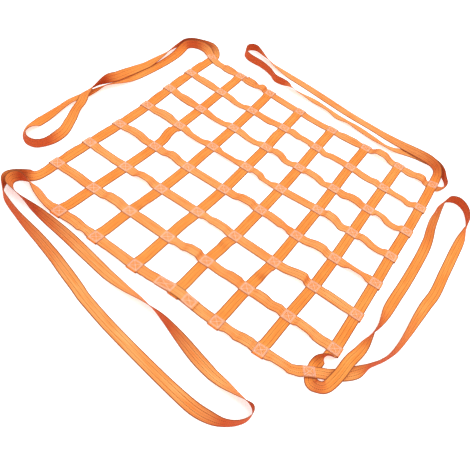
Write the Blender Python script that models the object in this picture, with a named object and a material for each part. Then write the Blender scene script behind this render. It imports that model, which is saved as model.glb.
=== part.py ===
"""A webbing cargo net lying flat, with a lifting loop laid out beside each of its four corners.

Twelve inner straps are folded round one border band. The band runs on past every corner into a long
loop, and its two ends lap on the front edge. Lengths in the tables are millimetres and angles are
degrees. Straps named a run along Y, straps named b run along X, and row or column 0 and 7 are the
border band itself. Lean turns a strap about its own length: positive lifts the edge on its left.
"""
import math

import bmesh
import bpy
from mathutils import Matrix, Vector

MM = 0.001
WIDTH = 50.0
THICK = 2.5
GAP = 0.3
LAYER = THICK + GAP
HALF = WIDTH / 2
HOLD = HALF + 3.5
RAMP = 34.0
EASE = 18.0
FOLD_CLEARANCE = 0.8
TAIL = 44.0
FOLD_STEPS = 4
OVERHANG = 2.0
SAMPLE = 4.0
FLATNESS = 0.5
WEBBING_COLOUR = (0.86, 0.26, 0.035, 1.0)

# Where each strap runs sideways: its x (a straps) or y (b straps) at its crossings 0 to 7.
A_STRAPS = {
    "a0": (-713, -710, -705, -698, -699, -709, -717, -719),
    "a1": (-510, -501, -490, -484, -495, -499, -507, -514),
    "a2": (-311, -305, -291, -287, -289, -294, -302, -314),
    "a3": (-105, -101, -91, -85, -89, -94, -105, -112),
    "a4": (92, 94, 109, 112, 111, 106, 98, 94),
    "a5": (290, 296, 312, 313, 311, 305, 298, 297),
    "a6": (486, 494, 505, 506, 502, 498, 496, 494),
    "a7": (700, 710, 710, 708, 704, 703, 698, 690),
}
B_STRAPS = {
    "b0": (-700, -701, -703, -708, -698, -709, -701, -690),
    "b1": (-503, -505, -501, -503, -496, -498, -498, -508),
    "b2": (-303, -308, -303, -301, -301, -304, -298, -303),
    "b3": (-102, -102, -103, -100, -89, -104, -98, -97),
    "b4": (110, 108, 103, 104, 97, 108, 98, 95),
    "b5": (310, 298, 301, 301, 297, 295, 293, 293),
    "b6": (510, 501, 497, 506, 501, 501, 493, 497),
    "b7": (712, 708, 704, 693, 692, 704, 707, 702),
}

# Folds and slack between the crossings: the stretch it starts, is full, starts to fall and ends at,
# then how far it rises, how much it leans and how far it bows sideways.
FOLDS = {
    "a1": ((-40, 25, 55, 75, 8, 0, -6),),
    "a2": ((-470, -440, -420, -385, 6, -8, 5), (-60, -20, 30, 70, 3, 0, 0)),
    "a4": ((-400, -365, -350, -330, 7, 10, 0), (-250, -200, -170, -130, 3, 0, 0)),
    "a5": ((-430, -395, -370, -335, 9, -16, 2), (-60, -10, 30, 75, 3, 0, 0)),
    "a6": ((-260, -220, -180, -130, 3, 5, 0), (130, 180, 220, 265, 3, 0, 0)),
    "a3": ((-460, -430, -390, -340, 4, 0, 0), (330, 380, 420, 465, 4, 6, 0)),
    "b1": (
        (-675, -630, -590, -535, 7, 0, 0), (-450, -415, -370, -330, 11, 4, 0),
        (-275, -240, -170, -130, 2, 5, 0), (-72, -50, -35, -10, 0, -12, 0),
        (-35, 12, 48, 66, 17, 0, 0), (175, 215, 250, 268, 5, 8, 0), (325, 345, 375, 410, 3, 9, 0),
        (410, 448, 456, 466, 8, 0, 0), (525, 545, 588, 632, 5, -10, 0),
    ),
    "b2": (
        (-660, -620, -580, -540, 0, -4, 0), (-440, -398, -360, -322, 12, -10, 0),
        (-260, -220, -160, -125, 3, 0, 0), (-62, -45, -30, -5, 0, -14, 0), (-35, 5, 50, 80, 9, -4, 0),
        (140, 180, 240, 280, 2, 2, 0), (342, 450, 454, 476, 20, 2, 0), (540, 570, 640, 678, 2, 5, 0),
    ),
    "b3": (
        (-668, -625, -590, -530, 11, 3, 0), (-432, -390, -375, -322, 13, 5, 0),
        (-255, -220, -150, -120, 3, 0, 0), (-30, 14, 55, 82, 12, 2, 0), (141, 165, 205, 250, 6, 0, 0),
        (222, 246, 256, 282, 0, -14, 0), (342, 420, 440, 477, 15, 5, 0), (545, 590, 640, 678, 0, -24, 0),
    ),
    "b4": (
        (-668, -600, -568, -526, 5, 14, 0), (-462, -410, -360, -320, 0, -12, -14),
        (-258, -235, -160, -120, 0, -15, -9), (-58, -45, -20, 10, 5, -12, 0),
        (-10, 20, 52, 80, 0, -18, -13), (141, 180, 230, 280, 2, 0, 0), (341, 358, 388, 440, 10, 6, 0),
        (415, 448, 458, 472, 0, 0, -8), (532, 545, 562, 605, 7, -4, 0), (585, 630, 652, 674, 0, -8, -9),
    ),
    "b5": (
        (-655, -600, -570, -530, 0, 14, -5), (-465, -400, -355, -325, 0, -9, -12),
        (-245, -190, -155, -125, 0, -8, -13), (-62, -46, -20, 15, 8, -2, 3), (5, 30, 52, 76, 0, -8, -13),
        (136, 150, 195, 240, 8, -3, 0), (225, 248, 256, 274, 0, -8, -10), (335, 350, 362, 395, 0, 8, -6),
        (355, 405, 430, 468, 9, 7, 0), (528, 540, 560, 600, 2, -14, 3), (580, 625, 655, 673, 0, -8, -15),
    ),
    "b6": (
        (-680, -640, -580, -540, 0, 9, 0), (-450, -395, -370, -335, 0, -8, -14),
        (-245, -200, -185, -160, 0, 6, -8), (-75, -60, -50, 0, 6, 3, 0), (-20, 10, 50, 68, 2, -6, 2),
        (128, 142, 155, 185, 0, -5, -10), (165, 205, 250, 268, 2, -2, 0), (345, 375, 395, 430, 0, 2, -3),
        (415, 443, 455, 466, 4, 3, 0), (526, 545, 600, 640, 0, -8, -3), (600, 638, 655, 668, 0, -4, -12),
    ),
    "b0": (
        (-480, -440, -420, -385, 8, 0, 0), (-400, -370, -350, -341, 0, -14, 0),
        (-276, -230, -170, -135, 3, -4, 0), (-68, -52, -48, -32, 0, -5, 0), (320, 340, 356, 385, 0, -14, 0),
        (372, 412, 440, 456, 9, 0, 0), (516, 545, 590, 630, 2, -14, 0),
    ),
    "b7": (
        (-636, -612, -580, -545, 0, 18, -8), (-484, -465, -430, -400, 0, 22, -8),
        (-405, -375, -355, -344, 10, 7, 0), (-280, -250, -180, -144, 0, 3, 0),
        (130, 170, 230, 266, 0, 14, -3), (328, 365, 400, 462, 22, 4, 0), (528, 545, 560, 590, 0, 10, -3),
        (560, 615, 630, 655, 11, 10, 0),
    ),
    "a0": (
        (-470, -420, -380, -335, 0, 9, 0), (-270, -230, -170, -132, 0, 6, 0), (-68, -30, 30, 75, 0, 5, 0),
        (142, 180, 230, 275, 0, 8, 0), (340, 370, 430, 470, 0, 9, 0), (540, 570, 620, 655, 0, 9, 0),
    ),
    "a7": (
        (-470, -430, -370, -335, 0, -4, 0), (-70, -20, 30, 62, 2, 0, 0), (325, 370, 420, 465, 3, -4, 0),
        (530, 570, 620, 660, 3, 0, 0),
    ),
}

# The loop beside each corner, in the order that the band runs: x, y, height above the floor, lean.
FRONT_LOOP = (
    (628, -688, 1, -8), (642, -682, LAYER, -3), (657, -671, LAYER + 1, -6), (677, -658, LAYER + 1, -9),
    (701, -644, LAYER + 1.4, -5), (722, -631, LAYER + 1, -2), (744, -618, 1.5, 2),
    (768, -601, 0, 8), (798, -575, 0, 14), (822, -550, 0, 34), (842, -520, 0, 66), (856, -490, 0, 86),
    (872, -462, 0, 90), (892, -420, 0, 84), (911, -345, 0, 65), (920, -250, 0, 48),
    (926, -150, 0, 28), (934, -50, 0, 8),
    (944, 40, 0, 0), (941, 180, 0, 0), (938, 320, 0, 0), (936, 420, 0, 18), (934, 480, 0, 48),
    (930, 540, 0, 80), (915, 600, 0, 92), (880, 655, 0, 90), (835, 675, 0, 90), (795, 650, 0, 88),
    (778, 600, 0, 72), (778, 530, 0, 64), (782, 460, 0, 48), (792, 380, 0, 47), (804, 320, 0, 38),
    (813, 250, 0, 10), (816, 150, 0, 0), (815, 0, 0, 0), (811, -100, 0, 0), (809, -180, 0, -15),
    (808, -250, 0, -45), (806, -310, 0, -75), (801, -350, 0, -95), (798, -400, 0, -128),
    (796, -440, 4, -152), (790, -480, 16, -168), (783, -515, 29, -178), (778, -550, 33, -180),
    (774, -600, 22, -180), (767, -638, 9, -188), (758, -670, 1, -206), (743, -694, 0, -232),
    (721, -703, 0, -232), (703, -694, 0, -200), (693, -674, 0, -180), (685, -645, 0, -180),
    (682, -620, 0, -180), (683, -606, 0, -166), (688, -590, 0, -128), (696, -574, 0, -85),
    (704, -556, 0, -40),
)
RIGHT_LOOP = (
    (690, 664, 1.6, -3), (690, 676, LAYER + 0.7, -6), (689, 702, LAYER + 0.7, -8),
    (688, 728, LAYER + 0.7, -9),
    (685, 765, 0.5, -16), (679, 800, 0, -42), (658, 835, 3, -64), (614, 858, 8, -56),
    (540, 868, 9, -38), (450, 876, 5, -22), (350, 886, 1, -10), (250, 896, 0, -3),
    (100, 902, 0, -4), (-50, 918, 0, -6), (-180, 935, 0, -3), (-300, 946, 0, 0), (-380, 952, 0, 12),
    (-445, 958, 0, 30), (-500, 975, 0, 48), (-545, 990, 0, 64), (-588, 1002, 0, 76),
    (-618, 985, 0, 85), (-628, 950, 0, 90), (-612, 908, 0, 90), (-570, 884, 0, 90), (-480, 880, 0, 96),
    (-410, 860, 0, 98), (-355, 828, 0, 94), (-305, 832, 0, 100), (-265, 842, 0, 125),
    (-230, 838, 0, 144), (-170, 840, 0, 156), (-100, 847, 0, 172), (0, 835, 0, 163),
    (65, 826, 0, 174), (130, 826, 0, 163), (190, 827, 0, 172), (300, 812, 0, 170), (360, 802, 0, 160),
    (415, 812, 0, 168), (475, 846, 0, 180), (540, 866, 0, 184), (577, 869, 0, 198), (614, 868, 0, 228),
    (665, 849, 0, 250), (703, 816, 0, 266), (729, 778, 0, 279), (743, 743, 0, 268),
    (738, 716, 0, 230), (719, 702, 0, 190), (700, 701, 0, 180), (688, 701, 0, 180),
)
BACK_LOOP = (
    (-662, 707, 1.4, -2), (-690, 714, LAYER, 0), (-718, 726, LAYER + 1.2, 0), (-746, 739, LAYER + 3.6, -4),
    (-785, 756, 2, -35), (-825, 750, 0, -64), (-858, 728, 0, -80), (-880, 695, 0, -70),
    (-884, 650, 0, -30), (-878, 600, 0, -12), (-875, 520, 0, -4), (-878, 420, 0, 0), (-888, 300, 0, 0),
    (-899, 215, 0, 5), (-910, 150, 0, 20), (-924, 100, 0, 32), (-938, 50, 0, 38), (-946, 0, 0, 24),
    (-953, -50, 0, 15), (-959, -80, 0, 13), (-964, -115, 0, 13), (-968, -150, 0, 21),
    (-964, -220, 0, 20), (-962, -300, 0, 4), (-960, -370, 0, 0), (-952, -430, 0, 36),
    (-929, -480, 0, 70), (-890, -505, 0, 84), (-850, -496, 0, 88), (-827, -460, 0, 84),
    (-822, -405, 0, 58), (-838, -330, 0, 20), (-874, -250, 0, 5), (-905, -180, 5, -12),
    (-917, -130, 17, -10), (-942, -80, 18, -20), (-951, -50, 12, -32), (-957, -20, 8, -50),
    (-958, 15, 6, -66), (-957, 50, 8, -80), (-947, 100, 12, -114), (-936, 150, 13, -140),
    (-934, 200, 10, -150), (-928, 300, 5, -168), (-919, 400, 3.5, -184), (-915, 500, 1.5, -210),
    (-914, 580, 0, -238), (-913, 648, 0, -250), (-903, 700, 0, -268),
    (-872, 743, 0, -282), (-835, 766, 0, -288), (-801, 783, 0, -292), (-771, 790, 0, -302),
    (-748, 785, 0, -323), (-729, 769, 0, -349), (-720, 747, 0, -360), (-719, 714, 0, -360),
    (-719, 690, 0, -360),
)
LEFT_LOOP = (
    (-713, -592, 0, 0), (-716, -619, 0, -13), (-725, -646, 0, -47), (-746, -665, 0, -73),
    (-768, -689, 0, -63), (-781, -714, 0, -56), (-775, -741, 0, -68), (-747, -774, 0, -85),
    (-705, -803, 0, -95), (-600, -836, 0, -102), (-520, -853, 0, -116), (-450, -866, 0, -128),
    (-350, -889, 0, -142), (-300, -903, 0, -152), (-200, -930, 0, -174), (-150, -946, 0, -180),
    (0, -979, 0, -180), (200, -1012, 0, -180), (350, -1034, 0, -172),
    (430, -1044, 0, -150), (490, -1040, 0, -125), (532, -1028, 0, -102), (568, -1002, 0, -92),
    (590, -970, 0, -90), (595, -940, 0, -90), (582, -918, 0, -98), (545, -911, 0, -120),
    (500, -909, 0, -140), (450, -903, 0, -165), (400, -896, 0, -180), (320, -884, 0, -208),
    (220, -860, 0, -240), (130, -838, 0, -270), (60, -828, 0, -298), (0, -823, 0, -318),
    (-60, -821, 0, -335), (-150, -811, 0, -358), (-280, -794, 0, -375), (-400, -781, 0, -400),
    (-520, -773, 0, -422), (-600, -768, 0, -448), (-650, -762, 0, -468), (-692, -755, 0, -474),
    (-732, -747, 0, -482), (-758, -730, 0, -489), (-767, -706, 0, -487), (-753, -685, 0, -466),
    (-722, -675, 0, -438), (-689, -675, 0, -416), (-650, -684, 0, -393), (-600, -700, 0, -387),
    (-562, -705, 0, -377),
)

# The band lies in a row up to where a loop leaves it, and again from where the loop joins the next row.
FRONT_LOOP_LEAVES = 612
RIGHT_LOOP_LEAVES = 650
RIGHT_LOOP_JOINS = 655
BACK_LOOP_LEAVES = -640
BACK_LOOP_JOINS = 660
LEFT_LOOP_LEAVES = -560

# The lap on the front edge: the hidden end, the free end, and how the upper layer comes over the lower.
LAP_START = 2
LAP_END = 190
LAP_HIDDEN = 40
LAP_LIFT = 0.5
LAP_STEP = 12


def smooth(value):
    """Ease from 0 to 1."""
    value = min(1.0, max(0.0, value))
    return value * value * (3 - 2 * value)


def window(place, start, full, falls, end):
    """How far a fold is open at a place along the strap, from 0 to 1."""
    return smooth((place - start) / (full - start)) * smooth((end - place) / (end - falls))


def through(knots, values, place):
    """Read a smooth curve through values at knots, level with its neighbours' slope at each knot."""
    last = len(knots) - 1
    index = 0
    while index < last - 1 and place > knots[index + 1]:
        index += 1
    span = knots[index + 1] - knots[index]
    share = (place - knots[index]) / span

    def slope(knot):
        low = max(0, knot - 1)
        high = min(last, knot + 1)
        return (values[high] - values[low]) / (knots[high] - knots[low])

    if share < 0 or share > 1:
        edge = 0 if share < 0 else last
        return values[edge] + slope(edge) * (place - knots[edge])
    square = share * share
    cube = square * share
    return ((2 * cube - 3 * square + 1) * values[index] + (3 * square - 2 * cube) * values[index + 1]
            + span * ((cube - 2 * square + share) * slope(index) + (cube - square) * slope(index + 1)))


def crossings(name):
    """Where a strap meets the eight straps that cross it, measured along it."""
    others = B_STRAPS if name[0] == "a" else A_STRAPS
    own = int(name[1])
    return [row[own] for row in others.values()]


def sideways(name, place):
    """A strap's x or y at a place along it, without its folds."""
    own = (A_STRAPS if name[0] == "a" else B_STRAPS)[name]
    return through(crossings(name), own, place)


def folds_at(name, place):
    """Rise, lean and bow that a strap's folds add up to, kept off its crossings."""
    meets = crossings(name)
    total = [0.0, 0.0, 0.0]
    for start, full, falls, end, *amounts in FOLDS.get(name, ()):
        middle = (full + falls) / 2
        before = [meet for meet in meets if meet < middle]
        after = [meet for meet in meets if meet > middle]
        first = max(start, before[-1] + HOLD) if before else start
        final = min(end, after[0] - HOLD) if after else end
        share = window(place, first, max(full, first + EASE), min(falls, final - EASE), final)
        total = [have + share * amount for have, amount in zip(total, amounts)]
    return total


def level_at(name, place):
    """Height of a strap's underside where the straps that it crosses hold it up."""
    meets = crossings(name)
    inner = name not in ("a0", "a7", "b0", "b7")
    height = 0.0
    for number, meet in enumerate(meets):
        at_edge = number in (0, 7)
        if inner and at_edge:
            under = 2 * LAYER
        elif inner:
            under = LAYER if name[0] == "b" else 0.0
        else:
            under = 0.0 if at_edge else LAYER
        away = abs(place - meet)
        height = max(height, under * smooth((HOLD + RAMP - away) / RAMP))
    return height


def standing(x, y, lift, lean):
    """Middle of a section of strap whose lowest corner is at a height."""
    turn = math.radians(lean)
    return Vector((x, y, lift + HALF * abs(math.sin(turn)) + THICK / 2 * abs(math.cos(turn))))


def run(name, start, end, turned=0):
    """Sections of a strap between two places along it, in the order that they are passed."""
    forward = end > start
    meets = crossings(name)
    holds = {meet + side * HOLD for meet in meets for side in (-1, 1)}
    steps = max(1, round(abs(end - start) / SAMPLE))
    places = {start + (end - start) * step / steps for step in range(steps + 1)}
    low, high = min(start, end), max(start, end)
    holds = {place for place in holds if low + SAMPLE < place < high - SAMPLE}
    places = {place for place in places if all(abs(place - hold) > SAMPLE for hold in holds)} | holds
    sections = []
    for place in sorted(places, reverse=not forward):
        rise, lean, bow = folds_at(name, place)
        side = sideways(name, place) + bow
        x, y = (side, place) if name[0] == "a" else (place, side)
        middle = standing(x, y, level_at(name, place) + rise, lean)
        drift = sideways(name, place + 1) - sideways(name, place - 1)
        heading = Vector((drift, 2, 0)) if name[0] == "a" else Vector((2, drift, 0))
        heading = heading.normalized() if forward else -heading.normalized()
        # A lean is read from the low end of a strap, so it changes sign when the strap runs back.
        turn = math.radians((lean if forward else -lean) + turned)
        keep = any(abs(place - hold) < 0.01 for hold in holds)
        sections.append((middle, heading, turn, keep))
    return sections


def loop(rows, turned=0):
    """Sections along a loop's table, on one smooth curve."""
    lengths = [0.0]
    for before, after in zip(rows, rows[1:]):
        lengths.append(lengths[-1] + math.dist(before[:2], after[:2]))
    columns = list(zip(*rows))
    steps = round(lengths[-1] / SAMPLE)
    sections = []
    for step in range(steps + 1):
        place = lengths[-1] * step / steps
        x, y, lift, lean = (through(lengths, column, place) for column in columns)
        low, high = max(0, place - 1), min(lengths[-1], place + 1)
        heading = Vector([through(lengths, column, high) - through(lengths, column, low)
                          for column in columns[:2]] + [0]).normalized()
        middle = standing(x, y, max(0.0, lift), lean)
        sections.append((middle, heading, math.radians(lean + turned), step in (0, steps)))
    return sections


def frames(sections):
    """Turn sections into stations: the middle, the direction across the strap and whether it stays."""
    stations = []
    for index, (middle, heading, turn, keep) in enumerate(sections):
        before = sections[max(0, index - 1)][0]
        after = sections[min(len(sections) - 1, index + 1)][0]
        climb = (after.z - before.z) / max(0.1, (after - before).xy.length)
        along = (heading + Vector((0, 0, climb))).normalized()
        level = Vector((-heading.y, heading.x, 0))
        across = level * math.cos(turn) + Vector((0, 0, math.sin(turn)))
        across = (across - along * across.dot(along)).normalized()
        stations.append((middle, across, keep))
    return stations


def thinned(stations):
    """Leave out stations that lie within the flatness of the straight line past them."""
    def edges(station):
        return (station[0] - station[1] * HALF, station[0] + station[1] * HALF)

    kept = [0]
    while kept[-1] < len(stations) - 1:
        first = kept[-1]
        reach = first + 1
        while reach < len(stations) - 1 and not stations[reach][2]:
            trial = reach + 1
            ends = list(zip(edges(stations[first]), edges(stations[trial])))
            worst = 0.0
            for middle in range(first + 1, trial):
                for point, (near, far) in zip(edges(stations[middle]), ends):
                    line = far - near
                    share = min(1.0, max(0.0, (point - near).dot(line) / line.length_squared))
                    worst = max(worst, (point - near - line * share).length)
            if worst > FLATNESS:
                break
            reach = trial
        kept.append(reach)
    return [stations[index] for index in kept]


def band_direction(band, place):
    """Unit vector along a border run at a place, pointing to its high end."""
    rise = sideways(band, place + 1) - sideways(band, place - 1)
    vector = Vector((rise, 2, 0)) if band[0] == "a" else Vector((2, rise, 0))
    return vector.normalized()


def end_fold(name, at_start):
    """Stations of a strap's end: over the band, round its outer edge and back beneath it."""
    band = ("b" if name[0] == "a" else "a") + ("0" if at_start else "7")
    meets = crossings(name)
    meet = meets[0] if at_start else meets[-1]
    own = sideways(name, meet)
    along = band_direction(band, own)
    outward = Vector((0, 0, 1)).cross(along)
    if name[0] == "b":
        outward = -outward
    outward = outward if (outward.x + outward.y < 0) == at_start else -outward
    corner = Vector((own, meet, 0)) if name[0] == "a" else Vector((meet, own, 0))
    edge = corner + outward * (HALF + FOLD_CLEARANCE)
    radius = LAYER
    centre = edge + Vector((0, 0, THICK / 2 + radius))
    # Across points left of the strap's run from its low end to its high end.
    across = -along if name[0] == "a" else along
    stations = [(centre - outward * (WIDTH + FOLD_CLEARANCE + OVERHANG) + Vector((0, 0, radius)), across, True)]
    for step in range(FOLD_STEPS + 1):
        angle = math.radians(90 - 180 * step / FOLD_STEPS)
        place = centre + outward * radius * math.cos(angle) + Vector((0, 0, radius * math.sin(angle)))
        stations.append((place, across, True))
    stations.append((centre - outward * TAIL - Vector((0, 0, radius)), across, True))
    return stations


def build_mesh(name, stations):
    """Skin a strap of rectangular section over its stations."""
    shell = bmesh.new()
    rings = []
    for index, (middle, across, keep) in enumerate(stations):
        before = stations[max(0, index - 1)][0]
        after = stations[min(len(stations) - 1, index + 1)][0]
        ways = [(middle - before), (after - middle)]
        ways = [way.normalized() for way in ways if way.length > 0]
        along = sum(ways, Vector()).normalized()
        up = along.cross(across).normalized()
        # Stretch the thickness where the strap turns, so that both of its faces stay parallel.
        stretch = 1 / max(0.5, along.dot(ways[0]))
        half = up * THICK / 2 * stretch
        corners = [across * HALF + half, across * -HALF + half, across * -HALF - half, across * HALF - half]
        rings.append([shell.verts.new((middle + corner) * MM) for corner in corners])
    for near, far in zip(rings, rings[1:]):
        for side in range(4):
            turn = (side + 1) % 4
            # Both wide faces are cut along the same diagonal, so that they stay apart in a twist.
            if side % 3:
                shell.faces.new((near[side], near[turn], far[side]))
                shell.faces.new((near[turn], far[turn], far[side]))
            else:
                shell.faces.new((near[side], near[turn], far[turn]))
                shell.faces.new((near[side], far[turn], far[side]))
    shell.faces.new(rings[0][::-1])
    shell.faces.new(rings[-1])
    bmesh.ops.recalc_face_normals(shell, faces=shell.faces)
    mesh = bpy.data.meshes.new(name)
    shell.to_mesh(mesh)
    shell.free()
    return mesh


def webbing_material():
    """Orange polyester webbing."""
    material = bpy.data.materials.new("webbing")
    material.use_nodes = True
    shader = material.node_tree.nodes["Principled BSDF"]
    shader.inputs["Base Color"].default_value = WEBBING_COLOUR
    shader.inputs["Roughness"].default_value = 0.75
    shader.inputs["Metallic"].default_value = 0.0
    return material


def inner_strap(name):
    """Stations of an inner strap, from its tail under one edge to its tail under the other."""
    meets = crossings(name)
    first = end_fold(name, True)[::-1]
    final = end_fold(name, False)
    start = meets[0] + HOLD
    end = meets[-1] - HOLD
    middle = frames(run(name, start, end))
    return first + thinned(middle[1:-1]) + final


def border_band():
    """Stations of the whole band, from its hidden end round every edge and loop to its free end."""
    sections = run("b0", LAP_START, FRONT_LOOP_LEAVES)
    sections += loop(FRONT_LOOP)
    sections += run("a7", crossings("a7")[1] - HOLD, RIGHT_LOOP_LEAVES)
    sections += loop(RIGHT_LOOP)
    sections += run("b7", RIGHT_LOOP_JOINS, BACK_LOOP_LEAVES, 180)
    sections += loop(BACK_LOOP, 180)
    sections += run("a0", BACK_LOOP_JOINS, LEFT_LOOP_LEAVES, -180)
    sections += loop(LEFT_LOOP, -180)
    sections += run("b0", crossings("b0")[1] - HOLD, LAP_START - LAP_HIDDEN, 180)
    sections += lap()
    return thinned(frames(sections))


def lap():
    """The upper layer of the lap, over the lower layer and over the strap sewn between them."""
    sections = []
    strap = A_STRAPS["a4"][0]
    places = [LAP_START - LAP_STEP, strap - HOLD - RAMP, strap - HOLD, strap + HOLD, strap + HOLD + RAMP, LAP_END]
    low, high = LAYER + LAP_LIFT, 3 * LAYER
    heights = [low, low, high, high, low, low]
    for place, height in zip(places, heights):
        middle = standing(place, sideways("b0", place), height, 0)
        sections.append((middle, Vector((1, 0, 0)), math.pi, True))
    return sections


def bottom_centre(meshes):
    """Middle of the underside of the box round all meshes."""
    points = [vertex.co for mesh in meshes for vertex in mesh.vertices]
    low, high = (Vector([pick(axis) for axis in zip(*points)]) for pick in (min, max))
    return Vector(((low.x + high.x) / 2, (low.y + high.y) / 2, low.z))


def main():
    for item in list(bpy.data.objects):
        bpy.data.objects.remove(item)
    material = webbing_material()
    routes = {"border_band": border_band()}
    for letter in "ab":
        for number in range(1, 7):
            routes[f"strap_{letter}{number}"] = inner_strap(f"{letter}{number}")
    meshes = {name: build_mesh(name, stations) for name, stations in routes.items()}
    centre = Matrix.Translation(-bottom_centre(meshes.values()))
    for name, mesh in meshes.items():
        mesh.transform(centre)
        mesh.materials.append(material)
        bpy.context.collection.objects.link(bpy.data.objects.new(name, mesh))


main()
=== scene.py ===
"""Looks of a webbing cargo net that lies flat: woven straps, sewn patches, floor, light and camera.

The straps follow the same routes as the solids that they stand for. Lengths are millimetres and
angles are degrees, but the pattern on the webbing and the floor are in metres. Straps named a run
along Y, straps named b run along X, and row or column 0 and 7 are the border band. Lean turns a strap
about its own length: positive lifts the edge on its left.
"""

import math
import random
from collections import namedtuple

import bmesh
import bpy
from mathutils import Matrix, Vector

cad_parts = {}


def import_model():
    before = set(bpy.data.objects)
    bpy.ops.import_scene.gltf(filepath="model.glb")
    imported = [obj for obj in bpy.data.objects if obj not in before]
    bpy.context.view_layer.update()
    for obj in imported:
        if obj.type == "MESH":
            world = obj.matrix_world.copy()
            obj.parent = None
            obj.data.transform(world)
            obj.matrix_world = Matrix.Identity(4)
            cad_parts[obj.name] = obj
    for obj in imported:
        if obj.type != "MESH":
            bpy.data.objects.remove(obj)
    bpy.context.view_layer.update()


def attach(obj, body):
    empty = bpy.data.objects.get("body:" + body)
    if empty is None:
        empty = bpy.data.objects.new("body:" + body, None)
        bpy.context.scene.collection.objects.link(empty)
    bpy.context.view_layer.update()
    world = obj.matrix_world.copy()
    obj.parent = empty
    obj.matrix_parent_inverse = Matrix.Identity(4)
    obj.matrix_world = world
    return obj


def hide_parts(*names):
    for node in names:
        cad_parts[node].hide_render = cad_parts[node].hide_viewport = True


MM = 0.001
WIDTH = 50.0
HALF = WIDTH / 2
THICK = 2.5
GAP = 0.3
LAYER = THICK + GAP

# A crossing holds a strap level for HOLD on each side of it, and the strap then comes down over RAMP.
HOLD = HALF + 3.5
RAMP = 34.0

# The shortest stretch over which a fold opens or closes.
EASE = 18.0

# A strap's end: its room round the band, how far short of the band it starts, and its tail beneath.
FOLD_CLEARANCE = 0.8
OVERHANG = 2.0
TAIL = 44.0
OVER_STEPS = 14
ROUND_STEPS = 12
TAIL_STEPS = 11

# Distance between the stations along a strap, and the widest step that the band keeps.
SAMPLE = 4.0
WIDEST_STEP = SAMPLE * 1.3

# The webbing is drawn just inside its solid, with flat faces and thinner, rounded edges.
SKIN = 2.3
FACE_HALF = HALF - 0.6
FACE_STEPS = 8
EDGE_HALF = HALF - 0.1
EDGE_RISE = SKIN * 0.16
EDGE_THINNING = 0.28
EDGE_SHARPNESS = 10

# What is added to a place in the tables to get its place in the frame.
NET_TO_FRAME = Vector((11.17, 28.27, 0.01))

# The photograph's viewpoint, as a place in the tables.
CAMERA_PLACE = Vector((674, -1888, 1876))
CAMERA_RIGHT = Vector((0.81854, 0.53582, 0.20710))
CAMERA_UP = Vector((-0.52837, 0.56079, 0.63745))
CAMERA_LENS = 44.96
CAMERA_SENSOR = 36

# Where each strap runs sideways: its x (a straps) or y (b straps) at its crossings 0 to 7.
A_STRAPS = {
    "a0": (-713, -710, -705, -698, -699, -709, -717, -719),
    "a1": (-510, -501, -490, -484, -495, -499, -507, -514),
    "a2": (-311, -305, -291, -287, -289, -294, -302, -314),
    "a3": (-105, -101, -91, -85, -89, -94, -105, -112),
    "a4": (92, 94, 109, 112, 111, 106, 98, 94),
    "a5": (290, 296, 312, 313, 311, 305, 298, 297),
    "a6": (486, 494, 505, 506, 502, 498, 496, 494),
    "a7": (700, 710, 710, 708, 704, 703, 698, 690),
}
B_STRAPS = {
    "b0": (-700, -701, -703, -708, -698, -709, -701, -690),
    "b1": (-503, -505, -501, -503, -496, -498, -498, -508),
    "b2": (-303, -308, -303, -301, -301, -304, -298, -303),
    "b3": (-102, -102, -103, -100, -89, -104, -98, -97),
    "b4": (110, 108, 103, 104, 97, 108, 98, 95),
    "b5": (310, 298, 301, 301, 297, 295, 293, 293),
    "b6": (510, 501, 497, 506, 501, 501, 493, 497),
    "b7": (712, 708, 704, 693, 692, 704, 707, 702),
}

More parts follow.
